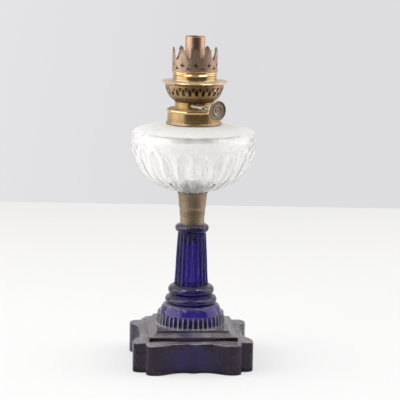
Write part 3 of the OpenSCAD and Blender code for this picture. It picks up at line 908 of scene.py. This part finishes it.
COTTON = WovenCotton("wick cotton", (0.78, 0.72, 0.6), (0.4, 0.36, 0.29))


@dataclass
class Sub:
    """Base of the lamp's sub-assemblies, whose shapes are the frame's own meshes.

    Attributes:
        title: its name in the log.
        finishes: the name and the finish of each of its nodes.
    """

    title: str = "part"
    finishes: Finishes = ()

    def build(self, nodes: dict[str, bpy.types.Object]) -> None:
        """Readies the sub-assembly's nodes."""
        self.dress(nodes)

    def dress(self, nodes: dict[str, bpy.types.Object]) -> None:
        """Gives each of its nodes its finish.

        Args:
            nodes: the frame's nodes by name.
        """
        for node, finish in self.finishes:
            mesh = nodes[node].data
            mesh.materials.clear()
            mesh.materials.append(material_of(finish))
            log.info("%s: %s in %s", self.title, node, finish.name)


@dataclass
class Foot(Sub):
    """The cobalt foot."""

    title: str = "foot"
    finishes: Finishes = (("glass_foot", COBALT),)


@dataclass
class Connector(Sub):
    """The brass piece between foot and font."""

    title: str = "connector"
    finishes: Finishes = (
        ("stem_ferrule", SADDLE), ("font_cup", SADDLE), ("connector_rivet", SADDLE),
        ("foot_plaster", PLASTER), ("font_plaster", PLASTER))


@dataclass
class Font(Sub):
    """The clear font and its collar."""

    title: str = "font"
    finishes: Finishes = (
        ("glass_font", CLEAR), ("font_collar", COLLAR), ("collar_plaster", PLASTER))


@dataclass
class Burner(Sub):
    """The burner's body and the wick."""

    title: str = "burner"
    finishes: Finishes = (
        ("burner_washer", LEATHER), ("thread_ring", BURNER), ("base_plate", PLATE),
        ("burner_drum", BURNER), ("winder_box", SADDLE), ("spindle_sleeve", SLEEVE),
        ("outer_wick_tube", TUBE), ("inner_air_tube", TUBE), ("wick", COTTON))


@dataclass
class Winder(Sub):
    """Spindle, wheels and knob."""

    title: str = "winder"
    finishes: Finishes = (("spindle", STEEL), ("wick_wheels", STEEL), ("winder_knob", KNOB))


@dataclass
class Gallery(Sub):
    """Basket, flange and crown."""

    title: str = "gallery"
    # The draught sleeve's near-black brass is painted shade for the inside of the basket.
    finishes: Finishes = (
        ("air_basket", BASKET), ("gallery_clips", SADDLE), ("gallery_dish", DISH),
        ("chimney_crown", ROSY), ("draught_sleeve", BASKET_SHADE))


@dataclass(frozen=True)
class FloorCloth(Dress):
    """The pale floor, which glossy surfaces see dark from some way in front of the lamp.

    Attributes:
        name: the material's name.
        cloth: its colour in the light.
        dim: its colour in the dark part.
        tones: its shown colour, from 1 m behind the lamp to 1 m in front.
        dim_from: cover of the dark part over the same way.
        glow: the shown colour's share; the rest is the lit cloth, with the lamp's shadow.
    """

    name: str = "floor"
    cloth: Colour = (0.8, 0.795, 0.79)
    dim: Colour = (0.05, 0.046, 0.042)
    tones: Stops = (
        (0.0, (0.89, 0.885, 0.875)), (0.3, (0.95, 0.945, 0.94)), (0.47, (1.0, 0.998, 1.0)),
        (1.0, (0.985, 0.98, 0.98)))
    dim_from: Stops = ((0.58, 0.0), (0.66, 1.0))
    glow: float = 0.5

    def surface(self, bench: Bench) -> Signal:
        """Makes the floor's shader.

        Args:
            bench: the material's bench.

        Returns:
            The shader.
        """
        near = (bench.part(bench.coords(), Axis.Y) * -1.0).halved()
        shown = bench.node("ShaderNodeEmission", {}, {
            "Color": bench.ramp(near, self.tones), "Strength": 1.0})
        dark = bench.ray(Ray.GLOSSY) * bench.ramp(near, self.dim_from)
        lit = bench.laid_over(dark, bench.diffuse(self.cloth), bench.diffuse(self.dim))
        return bench.laid_over(bench.ray(Ray.CAMERA) * self.glow, lit, shown)


@dataclass(frozen=True)
class Room:
    """The world: pale paper behind the lamp, a dim room in front, even light on matt things.

    Attributes:
        name: the world's name.
        paper_left: the paper at the left.
        paper_right: the paper at the right.
        paper_turn: how fast one becomes the other from left to right.
        paper_middle: the right one's share straight behind the lamp.
        ambient: level of the light on matt surfaces.
        mirrored: what glossy surfaces see, from the front to the back.
        ceiling: the ceiling's colour, for glossy surfaces.
        overhead: cover of the ceiling by height.
        window: level of the bright patches high in front, at both sides.
        window_rise: the patches' cover by height.
        window_depth: their cover from the front to the back.
        window_sides: their cover from left to right.
        through: what is seen through the glass, from the front to the back.
    """

    name: str = "room"
    paper_left: Colour = (0.80, 0.80, 0.815)
    paper_right: Colour = (0.725, 0.72, 0.735)
    paper_turn: float = 5.5
    paper_middle: float = 0.4
    ambient: float = 0.6
    mirrored: Stops = (
        (0.0, (0.05, 0.045, 0.042)), (0.42, (0.075, 0.07, 0.065)), (0.62, (0.3, 0.3, 0.3)),
        (0.8, (0.72, 0.72, 0.73)), (1.0, (0.78, 0.78, 0.79)))
    ceiling: Colour = (0.5, 0.5, 0.5)
    overhead: Stops = ((0.3, 0.0), (0.9, 0.6))
    window: float = 7.0
    window_rise: Stops = ((0.74, 0.0), (0.78, 1.0), (0.92, 1.0), (0.94, 0.0))
    window_depth: Stops = ((0.46, 1.0), (0.5, 0.0))
    window_sides: Stops = ((0.32, 1.0), (0.38, 0.0), (0.62, 0.0), (0.68, 1.0))
    through: Stops = (
        (0.0, (0.76, 0.76, 0.76)), (0.4, (0.86, 0.86, 0.86)), (0.6, (0.93, 0.93, 0.93)),
        (1.0, (0.9, 0.9, 0.91)))

    def build(self) -> bpy.types.World:
        """Makes the world.

        Returns:
            The world.
        """
        world = bpy.data.worlds.new(self.name)
        world.use_nodes = True
        world.node_tree.nodes.clear()
        bench = Bench(world.node_tree)
        way = bench.node("ShaderNodeTexCoord", out="Generated")
        across, rise = bench.part(way, Axis.X), bench.part(way, Axis.Z)
        back = bench.part(way, Axis.Y).halved()
        paper = bench.mix((across * self.paper_turn - rise + self.paper_middle).clipped(),
                          self.paper_left, self.paper_right)
        tone = bench.mix(bench.ray(Ray.GLOSSY), (self.ambient,) * 3,
                         self._mirrored(bench, across.halved(), back, rise))
        tone = bench.mix(bench.ray(Ray.THROUGH), tone, bench.ramp(back, self.through))
        tone = bench.mix(bench.ray(Ray.CAMERA), tone, paper)
        sky = bench.node("ShaderNodeBackground", {}, {"Color": tone, "Strength": 1.0})
        bench.raw("ShaderNodeOutputWorld", {}, {"Surface": sky})
        return world

    def _mirrored(self, bench: Bench, side: Signal, back: Signal, rise: Signal) -> Signal:
        """What glossy surfaces see of the room.

        Args:
            bench: the world's bench.
            side: the direction from left to right, from 0 to 1.
            back: the direction from the front to the back, from 0 to 1.
            rise: the direction upwards, from -1 to 1.

        Returns:
            Its colour.
        """
        room = bench.mix(bench.ramp(rise, self.overhead), bench.ramp(back, self.mirrored),
                         self.ceiling)
        window = bench.ramp(rise, self.window_rise) * bench.ramp(back, self.window_depth)
        window = window * bench.ramp(side, self.window_sides)
        return bench.mix(window, room, (self.window,) * 3)


@dataclass(frozen=True)
class SoftBox:
    """A soft box that faces the lamp's middle.

    Attributes:
        name: its name.
        around: degrees round to the left of the camera.
        away: distance from the lamp's axis, in metres.
        up: height, in metres.
        size: width and height of its face, in metres.
        level: its radiance.
        aim: height that it faces, in metres.
        watts: power for each square metre at a radiance of 1.
    """

    name: str
    around: float
    away: float
    up: float
    size: tuple[float, float]
    level: float
    aim: float = 0.22
    watts: float = 4.0

    def build(self, facing: float) -> bpy.types.Object:
        """Makes the light.

        Args:
            facing: the camera's place round the lamp, in radians.

        Returns:
            The light.
        """
        turn = facing - math.radians(self.around)
        place = Vector((math.sin(turn) * self.away, -math.cos(turn) * self.away, self.up))
        data = bpy.data.lights.new(self.name, "AREA")
        data.shape = "RECTANGLE"
        data.size, data.size_y = self.size
        data.energy = self.level * self.watts * self.size[0] * self.size[1]
        light = bpy.data.objects.new(self.name, data)
        light.location = place
        light.rotation_euler = (UP * self.aim - place).to_track_quat("-Z", "Y").to_euler()
        return light


@dataclass
class Studio:
    """Camera, floor, world and soft boxes.

    Attributes:
        swing: degrees that the camera stands round to the right, less than 0 for the left.
        reach: the camera's distance in front of the lamp, in metres.
        height: its height, in metres.
        lens: its focal length, in millimetres.
        sensor: its sensor's width, in millimetres.
        sight: how far it sees, in metres.
        aim_z: height that it looks at, in metres.
        aim_side: how far to the right of the lamp's axis it looks, in metres.
        roll: degrees that it is rolled.
        floor_back: how far the floor reaches behind the lamp, in metres.
        floor_side: how far it reaches to each side, in metres.
        floor_front: how far it reaches in front, in metres.
        cloth: the floor's finish.
        room: the world.
        soft_boxes: the soft boxes.
    """

    swing: float = -4.6
    reach: float = 2.0
    height: float = 0.558
    lens: float = 150.15
    sensor: float = 36.0
    sight: float = 50.0
    aim_z: float = 0.2008
    aim_side: float = 0.0091
    roll: float = 1.053
    floor_back: float = 1.07
    floor_side: float = 1.6
    floor_front: float = 1.2
    cloth: FloorCloth = FloorCloth()
    room: Room = Room()
    soft_boxes: tuple[SoftBox, ...] = (
        SoftBox("left box", 75.0, 1.6, 0.85, (2.5, 1.6), 1.9),
        SoftBox("right box", -95.0, 1.6, 0.85, (1.9, 1.6), 1.45),
        SoftBox("top box", 180.0, 0.25, 1.7, (1.6, 1.2), 0.7))

    def build(self) -> None:
        """Makes the whole studio."""
        scene = bpy.context.scene
        turn = math.radians(self.swing)
        camera, floor = self._camera(turn), self._floor(turn)
        for item in (camera, floor, *(box.build(turn) for box in self.soft_boxes)):
            scene.collection.objects.link(item)
        scene.camera = camera
        scene.world = self.room.build()

    def _camera(self, turn: float) -> bpy.types.Object:
        """Puts the camera in front of the lamp and rolls it.

        Args:
            turn: its place round the lamp, in radians.

        Returns:
            The camera.
        """
        ahead = Vector((-math.sin(turn), math.cos(turn), 0.0))
        side = Vector((math.cos(turn), math.sin(turn), 0.0))
        eye = UP * self.height - ahead * self.reach
        look = (UP * self.aim_z + side * self.aim_side - eye).normalized()
        right = look.cross(UP).normalized()
        over = right.cross(look)
        tilt = math.radians(self.roll)
        axes = (right * math.cos(tilt) + over * math.sin(tilt),
                over * math.cos(tilt) - right * math.sin(tilt), -look)
        stand = Matrix(axes).transposed().to_4x4()
        stand.translation = eye
        data = bpy.data.cameras.new("camera")
        data.lens = self.lens
        data.sensor_width = self.sensor
        data.clip_end = self.sight
        camera = bpy.data.objects.new("camera", data)
        camera.matrix_world = stand
        return camera

    def _floor(self, turn: float) -> bpy.types.Object:
        """Lays the pale floor.

        Args:
            turn: the way it is laid, in radians.

        Returns:
            The floor.
        """
        corners = ((-self.floor_side, -self.floor_front), (self.floor_side, -self.floor_front),
                   (self.floor_side, self.floor_back), (-self.floor_side, self.floor_back))
        spun = [(x * math.cos(turn) - y * math.sin(turn),
                 x * math.sin(turn) + y * math.cos(turn), 0.0) for x, y in corners]
        mesh = bpy.data.meshes.new("floor")
        mesh.from_pydata(spun, [], [(0, 1, 2, 3)])
        mesh.materials.append(self.cloth.build())
        return bpy.data.objects.new("floor", mesh)


def main() -> None:
    """Builds the lamp's looks round the frame."""
    logging.basicConfig(level=logging.INFO, format="%(name)s: %(message)s")
    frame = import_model()
    bpy.context.scene.view_settings.view_transform = "Standard"
    Studio().build()
    for sub in (Foot(), Connector(), Font(), Burner(), Winder(), Gallery()):
        sub.build(frame["nodes"])


if __name__ == "__main__":
    main()
